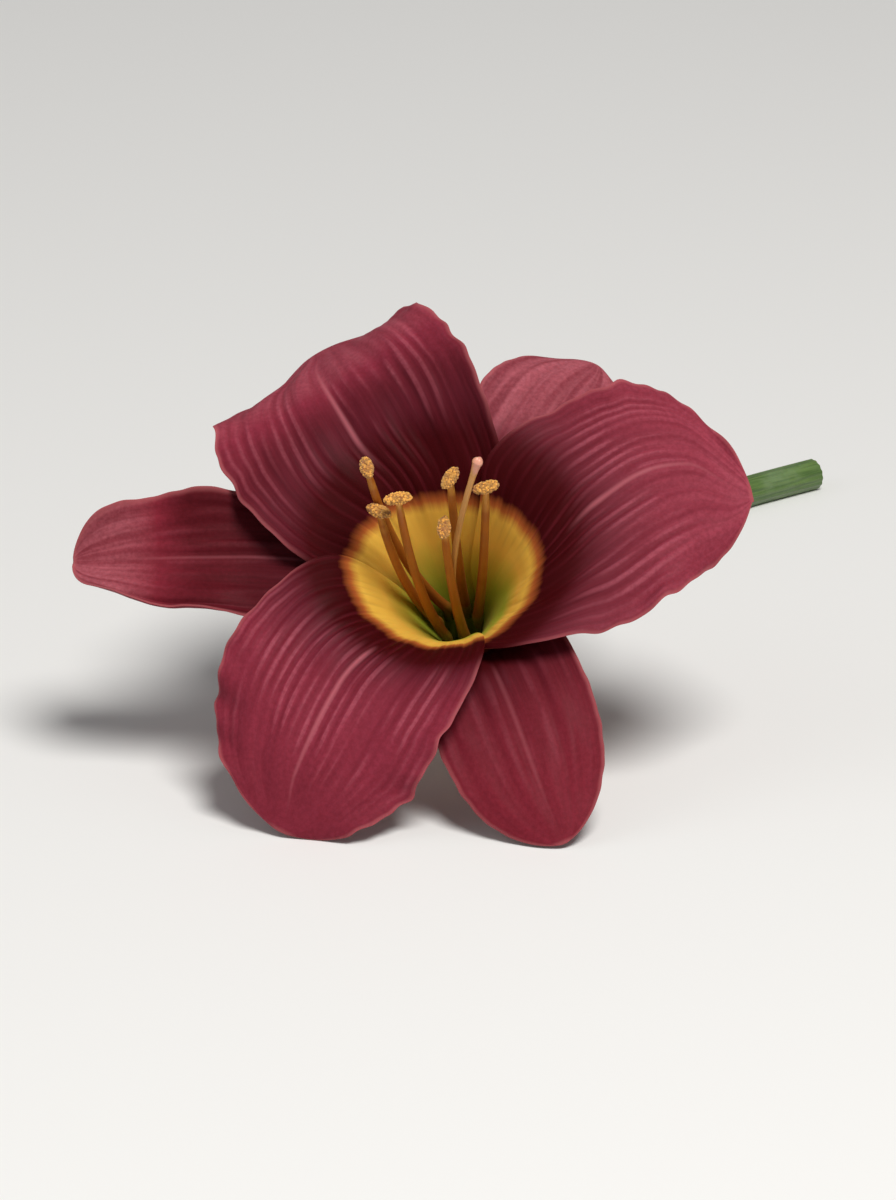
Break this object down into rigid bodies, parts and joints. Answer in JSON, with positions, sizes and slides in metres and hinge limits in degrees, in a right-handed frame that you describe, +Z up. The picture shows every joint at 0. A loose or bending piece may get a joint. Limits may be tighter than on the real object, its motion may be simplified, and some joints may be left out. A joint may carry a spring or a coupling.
{
  "type": "daylily flower",
  "caption": "Open daylily bloom with ruffled tepals, throat, stamens and pistil on a cut, lying stalk.",
  "frame": {"origin": "centre of the bounding box's bottom face, on the surface the flower lies on", "axes": "+Z up, the bloom faces -Y and up, and the stalk runs back along +Y and bends towards +X"},
  "size_m": [0.1017, 0.1634, 0.0663],
  "materials": {
    "petal": "velvety, dark red",
    "sepal": "satin, dark red",
    "tube": "satin, yellow-green",
    "filament": "satin, golden orange",
    "anther": "powdery, orange-yellow",
    "pistil": "satin, pale peach",
    "stalk": "waxy, green"
  },
  "bodies": {
    "root": {"petal_top": "petal", "petal_right": "petal", "petal_lower_left": "petal", "sepal_left": "sepal", "sepal_upper_right": "sepal", "sepal_lower_right": "sepal", "perianth_tube": "tube", "filament_1": "filament", "filament_2": "filament", "filament_3": "filament", "filament_4": "filament", "filament_5": "filament", "filament_6": "filament", "anther_1": "anther", "anther_2": "anther", "anther_3": "anther", "anther_4": "anther", "anther_5": "anther", "anther_6": "anther", "pistil": "pistil", "stalk": "stalk", "bract_upper": "stalk", "bract_lower": "stalk"}
  },
  "joints": []
}
